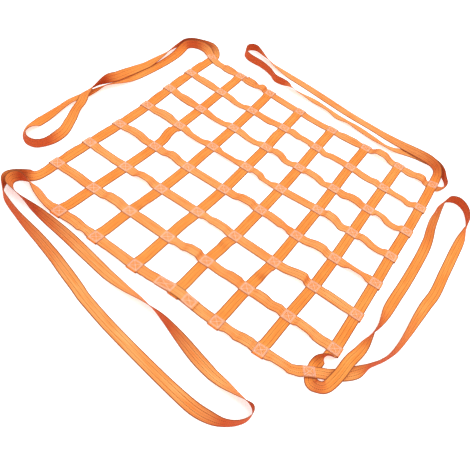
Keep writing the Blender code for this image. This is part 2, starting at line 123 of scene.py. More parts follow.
# Folds and slack between the crossings: where each starts, is full, starts to fall and ends, then
# how far it rises, how much it leans and how far it bows sideways.
FOLDS = {
    "a1": ((-40, 25, 55, 75, 8, 0, -6),),
    "a2": ((-470, -440, -420, -385, 6, -8, 5), (-60, -20, 30, 70, 3, 0, 0)),
    "a3": ((-460, -430, -390, -340, 4, 0, 0), (330, 380, 420, 465, 4, 6, 0)),
    "a4": ((-400, -365, -350, -330, 7, 10, 0), (-250, -200, -170, -130, 3, 0, 0)),
    "a5": ((-430, -395, -370, -335, 9, -16, 2), (-60, -10, 30, 75, 3, 0, 0)),
    "a6": ((-260, -220, -180, -130, 3, 5, 0), (130, 180, 220, 265, 3, 0, 0)),
    "b1": (
        (-675, -630, -590, -535, 7, 0, 0), (-450, -415, -370, -330, 11, 4, 0),
        (-275, -240, -170, -130, 2, 5, 0), (-72, -50, -35, -10, 0, -12, 0),
        (-35, 12, 48, 66, 17, 0, 0), (175, 215, 250, 268, 5, 8, 0), (325, 345, 375, 410, 3, 9, 0),
        (410, 448, 456, 466, 8, 0, 0), (525, 545, 588, 632, 5, -10, 0),
    ),
    "b2": (
        (-660, -620, -580, -540, 0, -4, 0), (-440, -398, -360, -322, 12, -10, 0),
        (-260, -220, -160, -125, 3, 0, 0), (-62, -45, -30, -5, 0, -14, 0), (-35, 5, 50, 80, 9, -4, 0),
        (140, 180, 240, 280, 2, 2, 0), (342, 450, 454, 476, 20, 2, 0), (540, 570, 640, 678, 2, 5, 0),
    ),
    "b3": (
        (-668, -625, -590, -530, 11, 3, 0), (-432, -390, -375, -322, 13, 5, 0),
        (-255, -220, -150, -120, 3, 0, 0), (-30, 14, 55, 82, 12, 2, 0), (141, 165, 205, 250, 6, 0, 0),
        (222, 246, 256, 282, 0, -14, 0), (342, 420, 440, 477, 15, 5, 0), (545, 590, 640, 678, 0, -24, 0),
    ),
    "b4": (
        (-668, -600, -568, -526, 5, 14, 0), (-462, -410, -360, -320, 0, -12, -14),
        (-258, -235, -160, -120, 0, -15, -9), (-58, -45, -20, 10, 5, -12, 0),
        (-10, 20, 52, 80, 0, -18, -13), (141, 180, 230, 280, 2, 0, 0), (341, 358, 388, 440, 10, 6, 0),
        (415, 448, 458, 472, 0, 0, -8), (532, 545, 562, 605, 7, -4, 0), (585, 630, 652, 674, 0, -8, -9),
    ),
    "b5": (
        (-655, -600, -570, -530, 0, 14, -5), (-465, -400, -355, -325, 0, -9, -12),
        (-245, -190, -155, -125, 0, -8, -13), (-62, -46, -20, 15, 8, -2, 3), (5, 30, 52, 76, 0, -8, -13),
        (136, 150, 195, 240, 8, -3, 0), (225, 248, 256, 274, 0, -8, -10), (335, 350, 362, 395, 0, 8, -6),
        (355, 405, 430, 468, 9, 7, 0), (528, 540, 560, 600, 2, -14, 3), (580, 625, 655, 673, 0, -8, -15),
    ),
    "b6": (
        (-680, -640, -580, -540, 0, 9, 0), (-450, -395, -370, -335, 0, -8, -14),
        (-245, -200, -185, -160, 0, 6, -8), (-75, -60, -50, 0, 6, 3, 0), (-20, 10, 50, 68, 2, -6, 2),
        (128, 142, 155, 185, 0, -5, -10), (165, 205, 250, 268, 2, -2, 0), (345, 375, 395, 430, 0, 2, -3),
        (415, 443, 455, 466, 4, 3, 0), (526, 545, 600, 640, 0, -8, -3), (600, 638, 655, 668, 0, -4, -12),
    ),
    "b0": (
        (-480, -440, -420, -385, 8, 0, 0), (-400, -370, -350, -341, 0, -14, 0),
        (-276, -230, -170, -135, 3, -4, 0), (-68, -52, -48, -32, 0, -5, 0), (320, 340, 356, 385, 0, -14, 0),
        (372, 412, 440, 456, 9, 0, 0), (516, 545, 590, 630, 2, -14, 0),
    ),
    "b7": (
        (-636, -612, -580, -545, 0, 18, -8), (-484, -465, -430, -400, 0, 22, -8),
        (-405, -375, -355, -344, 10, 7, 0), (-280, -250, -180, -144, 0, 3, 0),
        (130, 170, 230, 266, 0, 14, -3), (328, 365, 400, 462, 22, 4, 0), (528, 545, 560, 590, 0, 10, -3),
        (560, 615, 630, 655, 11, 10, 0),
    ),
    "a0": (
        (-470, -420, -380, -335, 0, 9, 0), (-270, -230, -170, -132, 0, 6, 0), (-68, -30, 30, 75, 0, 5, 0),
        (142, 180, 230, 275, 0, 8, 0), (340, 370, 430, 470, 0, 9, 0), (540, 570, 620, 655, 0, 9, 0),
    ),
    "a7": (
        (-470, -430, -370, -335, 0, -4, 0), (-70, -20, 30, 62, 2, 0, 0), (325, 370, 420, 465, 3, -4, 0),
        (530, 570, 620, 660, 3, 0, 0),
    ),
}

# The loop beside each corner, in the order that the band runs: x, y, height above the floor, lean.
FRONT_LOOP = (
    (628, -688, 1, -8), (642, -682, LAYER, -3), (657, -671, LAYER + 1, -6), (677, -658, LAYER + 1, -9),
    (701, -644, LAYER + 1.4, -5), (722, -631, LAYER + 1, -2), (744, -618, 1.5, 2),
    (768, -601, 0, 8), (798, -575, 0, 14), (822, -550, 0, 34), (842, -520, 0, 66), (856, -490, 0, 86),
    (872, -462, 0, 90), (892, -420, 0, 84), (911, -345, 0, 65), (920, -250, 0, 48),
    (926, -150, 0, 28), (934, -50, 0, 8),
    (944, 40, 0, 0), (941, 180, 0, 0), (938, 320, 0, 0), (936, 420, 0, 18), (934, 480, 0, 48),
    (930, 540, 0, 80), (915, 600, 0, 92), (880, 655, 0, 90), (835, 675, 0, 90), (795, 650, 0, 88),
    (778, 600, 0, 72), (778, 530, 0, 64), (782, 460, 0, 48), (792, 380, 0, 47), (804, 320, 0, 38),
    (813, 250, 0, 10), (816, 150, 0, 0), (815, 0, 0, 0), (811, -100, 0, 0), (809, -180, 0, -15),
    (808, -250, 0, -45), (806, -310, 0, -75), (801, -350, 0, -95), (798, -400, 0, -128),
    (796, -440, 4, -152), (790, -480, 16, -168), (783, -515, 29, -178), (778, -550, 33, -180),
    (774, -600, 22, -180), (767, -638, 9, -188), (758, -670, 1, -206), (743, -694, 0, -232),
    (721, -703, 0, -232), (703, -694, 0, -200), (693, -674, 0, -180), (685, -645, 0, -180),
    (682, -620, 0, -180), (683, -606, 0, -166), (688, -590, 0, -128), (696, -574, 0, -85),
    (704, -556, 0, -40),
)
RIGHT_LOOP = (
    (690, 664, 1.6, -3), (690, 676, LAYER + 0.7, -6), (689, 702, LAYER + 0.7, -8),
    (688, 728, LAYER + 0.7, -9),
    (685, 765, 0.5, -16), (679, 800, 0, -42), (658, 835, 3, -64), (614, 858, 8, -56),
    (540, 868, 9, -38), (450, 876, 5, -22), (350, 886, 1, -10), (250, 896, 0, -3),
    (100, 902, 0, -4), (-50, 918, 0, -6), (-180, 935, 0, -3), (-300, 946, 0, 0), (-380, 952, 0, 12),
    (-445, 958, 0, 30), (-500, 975, 0, 48), (-545, 990, 0, 64), (-588, 1002, 0, 76),
    (-618, 985, 0, 85), (-628, 950, 0, 90), (-612, 908, 0, 90), (-570, 884, 0, 90), (-480, 880, 0, 96),
    (-410, 860, 0, 98), (-355, 828, 0, 94), (-305, 832, 0, 100), (-265, 842, 0, 125),
    (-230, 838, 0, 144), (-170, 840, 0, 156), (-100, 847, 0, 172), (0, 835, 0, 163),
    (65, 826, 0, 174), (130, 826, 0, 163), (190, 827, 0, 172), (300, 812, 0, 170), (360, 802, 0, 160),
    (415, 812, 0, 168), (475, 846, 0, 180), (540, 866, 0, 184), (577, 869, 0, 198), (614, 868, 0, 228),
    (665, 849, 0, 250), (703, 816, 0, 266), (729, 778, 0, 279), (743, 743, 0, 268),
    (738, 716, 0, 230), (719, 702, 0, 190), (700, 701, 0, 180), (688, 701, 0, 180),
)
BACK_LOOP = (
    (-662, 707, 1.4, -2), (-690, 714, LAYER, 0), (-718, 726, LAYER + 1.2, 0), (-746, 739, LAYER + 3.6, -4),
    (-785, 756, 2, -35), (-825, 750, 0, -64), (-858, 728, 0, -80), (-880, 695, 0, -70),
    (-884, 650, 0, -30), (-878, 600, 0, -12), (-875, 520, 0, -4), (-878, 420, 0, 0), (-888, 300, 0, 0),
    (-899, 215, 0, 5), (-910, 150, 0, 20), (-924, 100, 0, 32), (-938, 50, 0, 38), (-946, 0, 0, 24),
    (-953, -50, 0, 15), (-959, -80, 0, 13), (-964, -115, 0, 13), (-968, -150, 0, 21),
    (-964, -220, 0, 20), (-962, -300, 0, 4), (-960, -370, 0, 0), (-952, -430, 0, 36),
    (-929, -480, 0, 70), (-890, -505, 0, 84), (-850, -496, 0, 88), (-827, -460, 0, 84),
    (-822, -405, 0, 58), (-838, -330, 0, 20), (-874, -250, 0, 5), (-905, -180, 5, -12),
    (-917, -130, 17, -10), (-942, -80, 18, -20), (-951, -50, 12, -32), (-957, -20, 8, -50),
    (-958, 15, 6, -66), (-957, 50, 8, -80), (-947, 100, 12, -114), (-936, 150, 13, -140),
    (-934, 200, 10, -150), (-928, 300, 5, -168), (-919, 400, 3.5, -184), (-915, 500, 1.5, -210),
    (-914, 580, 0, -238), (-913, 648, 0, -250), (-903, 700, 0, -268),
    (-872, 743, 0, -282), (-835, 766, 0, -288), (-801, 783, 0, -292), (-771, 790, 0, -302),
    (-748, 785, 0, -323), (-729, 769, 0, -349), (-720, 747, 0, -360), (-719, 714, 0, -360),
    (-719, 690, 0, -360),
)
LEFT_LOOP = (
    (-713, -592, 0, 0), (-716, -619, 0, -13), (-725, -646, 0, -47), (-746, -665, 0, -73),
    (-768, -689, 0, -63), (-781, -714, 0, -56), (-775, -741, 0, -68), (-747, -774, 0, -85),
    (-705, -803, 0, -95), (-600, -836, 0, -102), (-520, -853, 0, -116), (-450, -866, 0, -128),
    (-350, -889, 0, -142), (-300, -903, 0, -152), (-200, -930, 0, -174), (-150, -946, 0, -180),
    (0, -979, 0, -180), (200, -1012, 0, -180), (350, -1034, 0, -172),
    (430, -1044, 0, -150), (490, -1040, 0, -125), (532, -1028, 0, -102), (568, -1002, 0, -92),
    (590, -970, 0, -90), (595, -940, 0, -90), (582, -918, 0, -98), (545, -911, 0, -120),
    (500, -909, 0, -140), (450, -903, 0, -165), (400, -896, 0, -180), (320, -884, 0, -208),
    (220, -860, 0, -240), (130, -838, 0, -270), (60, -828, 0, -298), (0, -823, 0, -318),
    (-60, -821, 0, -335), (-150, -811, 0, -358), (-280, -794, 0, -375), (-400, -781, 0, -400),
    (-520, -773, 0, -422), (-600, -768, 0, -448), (-650, -762, 0, -468), (-692, -755, 0, -474),
    (-732, -747, 0, -482), (-758, -730, 0, -489), (-767, -706, 0, -487), (-753, -685, 0, -466),
    (-722, -675, 0, -438), (-689, -675, 0, -416), (-650, -684, 0, -393), (-600, -700, 0, -387),
    (-562, -705, 0, -377),
)

# The band lies in a row up to where a loop leaves it, and again from where the loop joins the next row.
FRONT_LOOP_LEAVES = 612
RIGHT_LOOP_LEAVES = 650
RIGHT_LOOP_JOINS = 655
BACK_LOOP_LEAVES = -640
BACK_LOOP_JOINS = 660
LEFT_LOOP_LEAVES = -560

# The lap on the front edge: where the lower layer's hidden end and the upper layer's free end are, and
# how far before the lap the upper layer starts to rise, then is over the lower, and by how much more.
LAP_START = 2
LAP_END = 190
LAP_RUN_UP = 40
LAP_STEP = 12
LAP_LIFT = 0.5

# The crossing that lies inside the lap, and where the lap's two patches start and end.
LAPPED = ("a4", "b0")
LAP_PATCHES = ((-4, 78), (126, 185))

# Half the size of a sewn patch on a crossing, on a corner, and across the lap.
PATCH_HALF = 25.5
CORNER_HALF_ALONG = 25.0
CORNER_HALF_ACROSS = 23.5
LAP_PATCH_HALF = 25

# The three corners that have a patch, and how near to one the band has to pass.
CORNER_PATCHES = ((677, -658), (689, 701), (-716, 724))
CORNER_SEARCH = 14

# How far over its patch the cloth is still tinted, and the height up to which it is on the lap.
PATCH_ROOM = 1
CORNER_ROOM = 4
LAP_ROOM = 14

# How far seams lie over the cloth, and how far inside a patch's edge its two boxes are.
CORNER_SEAM_LIFT = 0.2
LAP_SEAM_LIFT = 0.1
BOX_INSETS = (3.5, 7.5)

# Stitches: their length, the share of it where the thread comes out and goes in, and their wander.
STITCH_LENGTH = 5.2
STITCH_OUT = 0.14
STITCH_IN = 0.86
STITCH_WANDER = 0.25
THREAD_HALF = 1.1
THREAD_FLATNESS = 0.7
THREAD_SIDES = 6

# A stitch's arch: shares of its length, heights over the cloth and shares of its width.
STITCH_ARCH = ((0, -0.3, 0.5), (0.25, 0.35, 1), (0.75, 0.35, 1), (1, -0.3, 0.5))

# The webbing's weave, and its dark lines: distance from the middle, half width and how dark.
END_PITCH = 0.0021
PICK_PITCH = 0.0028
CHEVRON = 0.0042
DASH_PITCH = 0.0068
DASH_GAP = -0.35
MARKER_LINES = ((0.0, 0.0010, 0.45), (0.0085, 0.0014, 0.8), (0.0165, 0.0010, 0.4))
# A band painted darker along both edges: where it starts and how dark it is.
SELVEDGE_START = 0.0209
SELVEDGE_SHARE = 0.8
# Painted shade in the weave's low parts, then the depth and strength of the weave's bump.
WEAVE_SHADE = 0.10
WEAVE_DEPTH = 0.0006
WEAVE_STRENGTH = 0.5

# Noises, each as its scale and detail, and what is taken from them: over which value, times how much,
# and the most that it comes to.
CLOUD_NOISE = (5.0, 4.0)
CLOUD_SHARE = (0.35, 1.3)
STREAK_STRETCH = (9, 190, 1)
STREAK_NOISE = (1.0, 3.0)
STREAK_SHARE = (0.45, 2.6, 0.8)
SPECK_NOISE = (230.0, 1.0)
SPECK_START = 0.58
SPECK_SHARE = 0.3
THREAD_NOISE = (240.0, 2.0)
THREAD_SHARE = 0.3

# How much of the pale orange of painted sheen, the sewn pink and the slope's red of painted shade is mixed
# in.
SHEEN_SHARE = 0.75
SEWN_TINT = 0.5
SLOPE_SHADE_POWER = 0.95
SLOPE_SHADE_GAIN = 1.25

# The webbing's colours, from where it lies flat to where it stands on edge. The pale orange is painted
# sheen on straps that run along X, and the red on steep faces is painted shade.
SHEEN_ORANGE = (1.0, 0.48, 0.17, 1)
FLAT_ORANGE = (0.98, 0.37, 0.075, 1)
DEEP_ORANGE = (0.94, 0.20, 0.012, 1)
SLOPE_SHADE_RED = (0.62, 0.082, 0.012, 1)
LINE_ORANGE = (0.22, 0.045, 0.016, 1)
SEWN_PINK = (0.86, 0.33, 0.15, 1)
THREAD_PINK = (0.98, 0.76, 0.62, 1)
FLOOR_WHITE = (0.95, 0.95, 0.95, 1)
WHITE = (1, 1, 1, 1)
WEBBING_ROUGHNESS = 0.8
WEBBING_SHINE = 0.2
THREAD_ROUGHNESS = 0.5

# The floor, and the light from the sky and from one wide lamp behind the net.
FLOOR_REACH = 40
FLOOR_HEIGHT = -0.0015
FLOOR_GLOW = 0.5
SKY_STRENGTH = 0.95
SUN_STRENGTH = 1.4
SUN_SPREAD = 60
SUN_FROM = Vector((0.15, 0.55, 1.6))

# A sewn patch. The surface, where it has one, gives the height of its seams at a place along X.
Patch = namedtuple("Patch", "centre first second half_first half_second ceiling surface")


def smooth(value):
    """Ease from 0 to 1."""
    value = min(1.0, max(0.0, value))
    return value * value * (3 - 2 * value)


def window(place, start, full, falls, end):
    """How far a fold is open at a place along the strap, from 0 to 1."""
    return smooth((place - start) / (full - start)) * smooth((end - place) / (end - falls))


def through(knots, values, place):
    """Read a smooth curve through values at knots, level with its neighbours' slope at each knot."""
    last = len(knots) - 1
    index = 0
    while index < last - 1 and place > knots[index + 1]:
        index += 1
    span = knots[index + 1] - knots[index]
    share = (place - knots[index]) / span

    def slope(knot):
        low = max(0, knot - 1)
        high = min(last, knot + 1)
        return (values[high] - values[low]) / (knots[high] - knots[low])

    if share < 0 or share > 1:
        edge = 0 if share < 0 else last
        return values[edge] + slope(edge) * (place - knots[edge])
    square = share * share
    cube = square * share
    return ((2 * cube - 3 * square + 1) * values[index] + (3 * square - 2 * cube) * values[index + 1]
            + span * ((cube - 2 * square + share) * slope(index) + (cube - square) * slope(index + 1)))


def crossings(name):
    """Where a strap meets the eight straps that cross it, measured along it."""
    others = B_STRAPS if name[0] == "a" else A_STRAPS
    own = int(name[1])
    return [row[own] for row in others.values()]


def sideways(name, place):
    """A strap's x or y at a place along it, without its folds."""
    own = (A_STRAPS if name[0] == "a" else B_STRAPS)[name]
    return through(crossings(name), own, place)


def heading_at(name, place):
    """Unit vector along a strap at a place, to its high end and without its folds."""
    drift = sideways(name, place + 1) - sideways(name, place - 1)
    vector = Vector((drift, 2, 0)) if name[0] == "a" else Vector((2, drift, 0))
    return vector.normalized()


def folds_at(name, place):
    """Rise, lean and bow that a strap's folds add up to, kept off its crossings."""
    meets = crossings(name)
    total = [0.0, 0.0, 0.0]
    for start, full, falls, end, *amounts in FOLDS.get(name, ()):
        middle = (full + falls) / 2
        before = [meet for meet in meets if meet < middle]
        after = [meet for meet in meets if meet > middle]
        first = max(start, before[-1] + HOLD) if before else start
        final = min(end, after[0] - HOLD) if after else end
        share = window(place, first, max(full, first + EASE), min(falls, final - EASE), final)
        total = [have + share * amount for have, amount in zip(total, amounts)]
    return total


def level_at(name, place):
    """Height of a strap's underside where the straps that it crosses hold it up."""
    inner = name not in ("a0", "a7", "b0", "b7")
    height = 0.0
    for number, meet in enumerate(crossings(name)):
        at_edge = number in (0, 7)
        if inner and at_edge:
            under = 2 * LAYER
        elif inner:
            under = LAYER if name[0] == "b" else 0.0
        else:
            under = 0.0 if at_edge else LAYER
        away = abs(place - meet)
        height = max(height, under * smooth((HOLD + RAMP - away) / RAMP))
    return height


def standing(x, y, lift, lean):
    """Middle of a section of strap whose lowest corner is at a height."""
    turn = math.radians(lean)
    return Vector((x, y, lift + HALF * abs(math.sin(turn)) + THICK / 2 * abs(math.cos(turn))))


def run(name, start, end, turned=0):
    """Sections of a strap between two places along it, in the order that they are passed."""
    forward = end > start
    low, high = min(start, end), max(start, end)
    holds = {meet + side * HOLD for meet in crossings(name) for side in (-1, 1)}
    holds = {place for place in holds if low + SAMPLE < place < high - SAMPLE}
    steps = max(1, round(abs(end - start) / SAMPLE))
    places = {start + (end - start) * step / steps for step in range(steps + 1)}
    places = {place for place in places if all(abs(place - hold) > SAMPLE for hold in holds)} | holds
    sections = []
    for place in sorted(places, reverse=not forward):
        rise, lean, bow = folds_at(name, place)
        side = sideways(name, place) + bow
        x, y = (side, place) if name[0] == "a" else (place, side)
        middle = standing(x, y, level_at(name, place) + rise, lean)
        heading = heading_at(name, place) if forward else -heading_at(name, place)
        # A lean is read from the low end of a strap, so it changes sign when the strap runs back.
        turn = math.radians((lean if forward else -lean) + turned)
        sections.append((middle, heading, turn))
    return sections


def loop(rows, turned=0):
    """Sections along a loop's table, on one smooth curve."""
    lengths = [0.0]
    for before, after in zip(rows, rows[1:]):
        lengths.append(lengths[-1] + math.dist(before[:2], after[:2]))
    columns = list(zip(*rows))
    steps = round(lengths[-1] / SAMPLE)
    sections = []
    for step in range(steps + 1):
        place = lengths[-1] * step / steps
        x, y, lift, lean = (through(lengths, column, place) for column in columns)
        low, high = max(0, place - 1), min(lengths[-1], place + 1)
        heading = Vector([through(lengths, column, high) - through(lengths, column, low)
                          for column in columns[:2]] + [0]).normalized()
        middle = standing(x, y, max(0.0, lift), lean)
        sections.append((middle, heading, math.radians(lean + turned)))
    return sections


def frames(sections):
    """Turn sections into stations: the middle of the strap and the direction across it."""
    stations = []
    for index, (middle, heading, turn) in enumerate(sections):
        before = sections[max(0, index - 1)][0]
        after = sections[min(len(sections) - 1, index + 1)][0]
        climb = (after.z - before.z) / max(0.1, (after - before).xy.length)
        along = (heading + Vector((0, 0, climb))).normalized()
        level = Vector((-heading.y, heading.x, 0))
        across = level * math.cos(turn) + Vector((0, 0, math.sin(turn)))
        across = (across - along * across.dot(along)).normalized()
        stations.append((middle, across))
    return stations


def spread(stations):
    """Fill the wide steps between stations, so that the band bends evenly."""
    filled = [stations[0]]
    for (start, across), (end, next_across) in zip(stations, stations[1:]):
        steps = max(1, math.ceil((end - start).length / WIDEST_STEP))
        for step in range(1, steps + 1):
            share = step / steps
            filled.append((start.lerp(end, share), across.lerp(next_across, share).normalized()))
    return filled


def softened(stations):
    """Average each station with its two neighbours, which rounds the creases."""
    soft = [stations[0]]
    for before, here, after in zip(stations, stations[1:], stations[2:]):
        place = (before[0] + here[0] * 2 + after[0]) / 4
        across = (before[1] + here[1] * 2 + after[1]).normalized()
        soft.append((place, across))
    return soft + [stations[-1]]


def lap_heights():
    """Places along the lap and the height of its upper layer's underside at each."""
    strap = A_STRAPS["a4"][0]
    over_strap = [strap - HOLD - RAMP, strap - HOLD, strap + HOLD, strap + HOLD + RAMP]
    low, high = LAYER + LAP_LIFT, 3 * LAYER
    return [LAP_START - LAP_STEP] + over_strap + [LAP_END], [low, low, high, high, low, low]


def lap_top(place):
    """Height of the seams on the lap's upper face at a place along it."""
    places, heights = lap_heights()
    index = max(number for number, start in enumerate(places[:-1]) if start <= place)
    climb = (heights[index + 1] - heights[index]) * (place - places[index])
    return heights[index] + climb / (places[index + 1] - places[index]) + THICK + LAP_SEAM_LIFT


def lap():
    """The upper layer of the lap, over the lower layer and over the strap sewn between them."""
    sections = []
    for place, height in zip(*lap_heights()):
        middle = standing(place, sideways("b0", place), height, 0)
        sections.append((middle, Vector((1, 0, 0)), math.pi))
    return sections


def end_fold(name, at_start):
    """Stations of a strap's end: over the band, round its outer edge and back beneath it."""
    band = ("b" if name[0] == "a" else "a") + ("0" if at_start else "7")
    meet = crossings(name)[0 if at_start else -1]
    own = sideways(name, meet)
    along = heading_at(band, own)
    outward = Vector((0, 0, 1)).cross(along)
    outward = outward if (outward.x + outward.y < 0) == at_start else -outward
    corner = Vector((own, meet, 0)) if name[0] == "a" else Vector((meet, own, 0))
    edge = corner + outward * (HALF + FOLD_CLEARANCE)
    radius = LAYER
    centre = edge + Vector((0, 0, THICK / 2 + radius))
    across = -along if name[0] == "a" else along
    stations = []
    for step in range(OVER_STEPS):
        inward = (WIDTH + FOLD_CLEARANCE + OVERHANG) * (OVER_STEPS - step) / OVER_STEPS
        stations.append((centre - outward * inward + Vector((0, 0, radius)), across))
    for step in range(ROUND_STEPS + 1):
        angle = math.radians(90 - 180 / ROUND_STEPS * step)
        place = centre + outward * radius * math.cos(angle) + Vector((0, 0, radius * math.sin(angle)))
        stations.append((place, across))
    for step in range(1, TAIL_STEPS + 1):
        stations.append((centre - outward * TAIL * step / TAIL_STEPS - Vector((0, 0, radius)), across))
    return stations


def inner_strap(name):
    """Stations of an inner strap, from its tail under one edge to its tail under the other."""
    meets = crossings(name)
    middle = softened(frames(run(name, meets[0] + HOLD, meets[-1] - HOLD)))
    return end_fold(name, True)[::-1] + middle[1:-1] + end_fold(name, False)


def border_band():
    """Stations of the whole band, from its hidden end round every edge and loop to its free end."""
    sections = run("b0", LAP_START, FRONT_LOOP_LEAVES)
    sections += loop(FRONT_LOOP)
    sections += run("a7", crossings("a7")[1] - HOLD, RIGHT_LOOP_LEAVES)
    sections += loop(RIGHT_LOOP)
    sections += run("b7", RIGHT_LOOP_JOINS, BACK_LOOP_LEAVES, 180)
    sections += loop(BACK_LOOP, 180)
    sections += run("a0", BACK_LOOP_JOINS, LEFT_LOOP_LEAVES, -180)
    sections += loop(LEFT_LOOP, -180)
    sections += run("b0", crossings("b0")[1] - HOLD, LAP_START - LAP_RUN_UP, 180)
    sections += lap()
    return softened(spread(frames(sections)))


def profile():
    """Points round a section of webbing: its flat faces and its rounded, slightly thinner edges."""
    top = []
    for step in range(FACE_STEPS + 1):
        share = step / FACE_STEPS * 2 - 1
        rise = SKIN / 2 * (1 - EDGE_THINNING * abs(share) ** EDGE_SHARPNESS)
        top.append((-share * FACE_HALF, rise))
    edge = [(-EDGE_HALF, EDGE_RISE), (-EDGE_HALF, -EDGE_RISE)]
    bottom = [(across, -up) for across, up in reversed(top)]
    other = [(-across, -up) for across, up in edge]
    return top + edge + bottom + other


def skin(name, stations, patches):
    """A strap's mesh with its own measure along and across it, and how much of it is sewn."""
    outline = profile()
    shell = bmesh.new()
    along_layer = shell.loops.layers.uv.new("webbing")
    sewn_layer = shell.verts.layers.float.new("sewn")
    pale_layer = shell.verts.layers.float.new("pale")
    rings = []
    travel = [0.0]
    for index, (middle, across) in enumerate(stations):
        before = stations[max(0, index - 1)][0]
        after = stations[min(len(stations) - 1, index + 1)][0]
        if index:
            travel.append(travel[-1] + (middle - before).length)
        along = (after - before).normalized()
        up = along.cross(across).normalized()
        ring = []
        for side, rise in outline:
            vertex = shell.verts.new((middle + across * side + up * rise + NET_TO_FRAME) * MM)
            vertex[sewn_layer] = sewn_share(middle, patches)
            # Painted sheen: straps that run along X get a paler orange.
            vertex[pale_layer] = along.x * along.x
            ring.append(vertex)
        rings.append(ring)
    count = len(outline)
    for index, (near, far) in enumerate(zip(rings, rings[1:])):
        for side in range(count):
            turn = (side + 1) % count
            face = shell.faces.new((near[side], near[turn], far[turn], far[side]))
            face.smooth = True
            places = [(index, side), (index, turn), (index + 1, turn), (index + 1, side)]
            for corner, (station, point) in zip(face.loops, places):
                corner[along_layer].uv = (travel[station] * MM, (outline[point][0] + HALF) * MM)
    shell.faces.new(rings[0][::-1])
    shell.faces.new(rings[-1])
    bmesh.ops.recalc_face_normals(shell, faces=shell.faces)
    return placed(name, shell), travel[-1]


def placed(name, shell):
    """Put a finished shell in the scene as an object."""
    mesh = bpy.data.meshes.new(name)
    shell.to_mesh(mesh)
    shell.free()
    item = bpy.data.objects.new(name, mesh)
    bpy.context.collection.objects.link(item)
    return item


def sewn_share(place, patches):
    """1 inside a sewn patch and 0 away from it."""
    for patch in patches:
        away = place - patch.centre
        inside_first = abs(away.dot(patch.first)) < patch.half_first
        inside_second = abs(away.dot(patch.second)) < patch.half_second
        if inside_first and inside_second and place.z < patch.ceiling:
            return 1.0
    return 0.0


def crossing_patch(a_name, b_name):
    """A patch on the crossing of two straps, over as many layers as lie there."""
    a_number, b_number = int(a_name[1]), int(b_name[1])
    x = A_STRAPS[a_name][b_number]
    y = B_STRAPS[b_name][a_number]
    layers = 2 if 0 < a_number < 7 and 0 < b_number < 7 else 3
    centre = Vector((x, y, (layers - 1) * LAYER + THICK))
    first, second = heading_at(b_name, x), heading_at(a_name, y)
    return Patch(centre, first, second, PATCH_HALF, PATCH_HALF, centre.z + PATCH_ROOM, None)


def corner_patch(band, x, y):
    """A patch on the upper of the band's layers at a place, turned and tilted as the band is there."""
    near = [index for index in range(1, len(band) - 1)
            if math.dist(band[index][0].xy, (x, y)) < CORNER_SEARCH]
    index = max(near, key=lambda number: band[number][0].z)
    middle, across = band[index]
    along = (band[index + 1][0] - band[index - 1][0]).normalized()
    up = along.cross(across).normalized()
    if up.z < 0:
        up = -up
    centre = middle + up * (SKIN / 2 + CORNER_SEAM_LIFT)
    return Patch(centre, along, across, CORNER_HALF_ALONG, CORNER_HALF_ACROSS, centre.z + CORNER_ROOM, None)


def lap_patch(start, end):
    """A patch between two places along the lap, whose seams follow its upper layer."""
    middle = (start + end) / 2
    centre = Vector((middle, sideways("b0", middle), lap_top(middle)))
    first, second = heading_at("b0", middle), Vector((0, 1, 0))
    return Patch(centre, first, second, (end - start) / 2, LAP_PATCH_HALF, LAP_ROOM, lap_top)


def sewn_patches(band):
    """Every patch: on the crossings but the net's corners, then on the corners, then on the lap."""
    patches = []
    for a_name in A_STRAPS:
        for b_name in B_STRAPS:
            at_corner = a_name in ("a0", "a7") and b_name in ("b0", "b7")
            if not at_corner and (a_name, b_name) != LAPPED:
                patches.append(crossing_patch(a_name, b_name))
    patches += [corner_patch(band, x, y) for x, y in CORNER_PATCHES]
    patches += [lap_patch(start, end) for start, end in LAP_PATCHES]
    return patches


def stitch_lines(half_first, half_second):
    """A patch's seams as pairs of ends: two boxes, one in the other, and a cross between corners."""
    lines = []
    for inset in BOX_INSETS:
        wide, deep = half_first - inset, half_second - inset
        corners = [(-wide, -deep), (wide, -deep), (wide, deep), (-wide, deep)]
        lines += list(zip(corners, corners[1:] + corners[:1]))
    lines += [(corners[0], corners[2]), (corners[1], corners[3])]
    return lines


def sew(name, patches, material):
    """All the stitches of some patches as one mesh of short, rounded threads."""
    shell = bmesh.new()
    rng = random.Random(name)
    for patch in patches:
        up = patch.first.cross(patch.second).normalized()
        for start, end in stitch_lines(patch.half_first, patch.half_second):
            begin = patch.centre + patch.first * start[0] + patch.second * start[1]
            finish = patch.centre + patch.first * end[0] + patch.second * end[1]
            count = round((finish - begin).length / STITCH_LENGTH)
            way = (finish - begin) / count
            side = up.cross(way).normalized()
            for step in range(count):
                wander = side * rng.uniform(-STITCH_WANDER, STITCH_WANDER)
                foot = begin + way * (step + STITCH_OUT) + wander
                head = begin + way * (step + STITCH_IN) + wander
                if patch.surface:
                    foot.z, head.z = patch.surface(foot.x), patch.surface(head.x)
                stitch(shell, foot, head, side, up)
    item = placed(name, shell)
    item.data.materials.append(material)
    return item


def stitch(shell, foot, head, side, up):
    """One stitch: a thread that arches out of the cloth and back into it."""
    rings = []
    for share, height, wide in STITCH_ARCH:
        place = foot.lerp(head, share) + up * height
        ring = []
        for corner in range(THREAD_SIDES):
            angle = math.radians(360 / THREAD_SIDES * corner)
            out = side * THREAD_HALF * wide * math.cos(angle)
            over = up * THREAD_HALF * wide * THREAD_FLATNESS * math.sin(angle)
            ring.append(shell.verts.new((place + out + over + NET_TO_FRAME) * MM))
        rings.append(ring)
    for near, far in zip(rings, rings[1:]):
        for corner in range(THREAD_SIDES):
            turn = (corner + 1) % THREAD_SIDES
            face = shell.faces.new((near[corner], far[corner], far[turn], near[turn]))
            face.smooth = True
    shell.faces.new(rings[0])
    shell.faces.new(rings[-1][::-1])


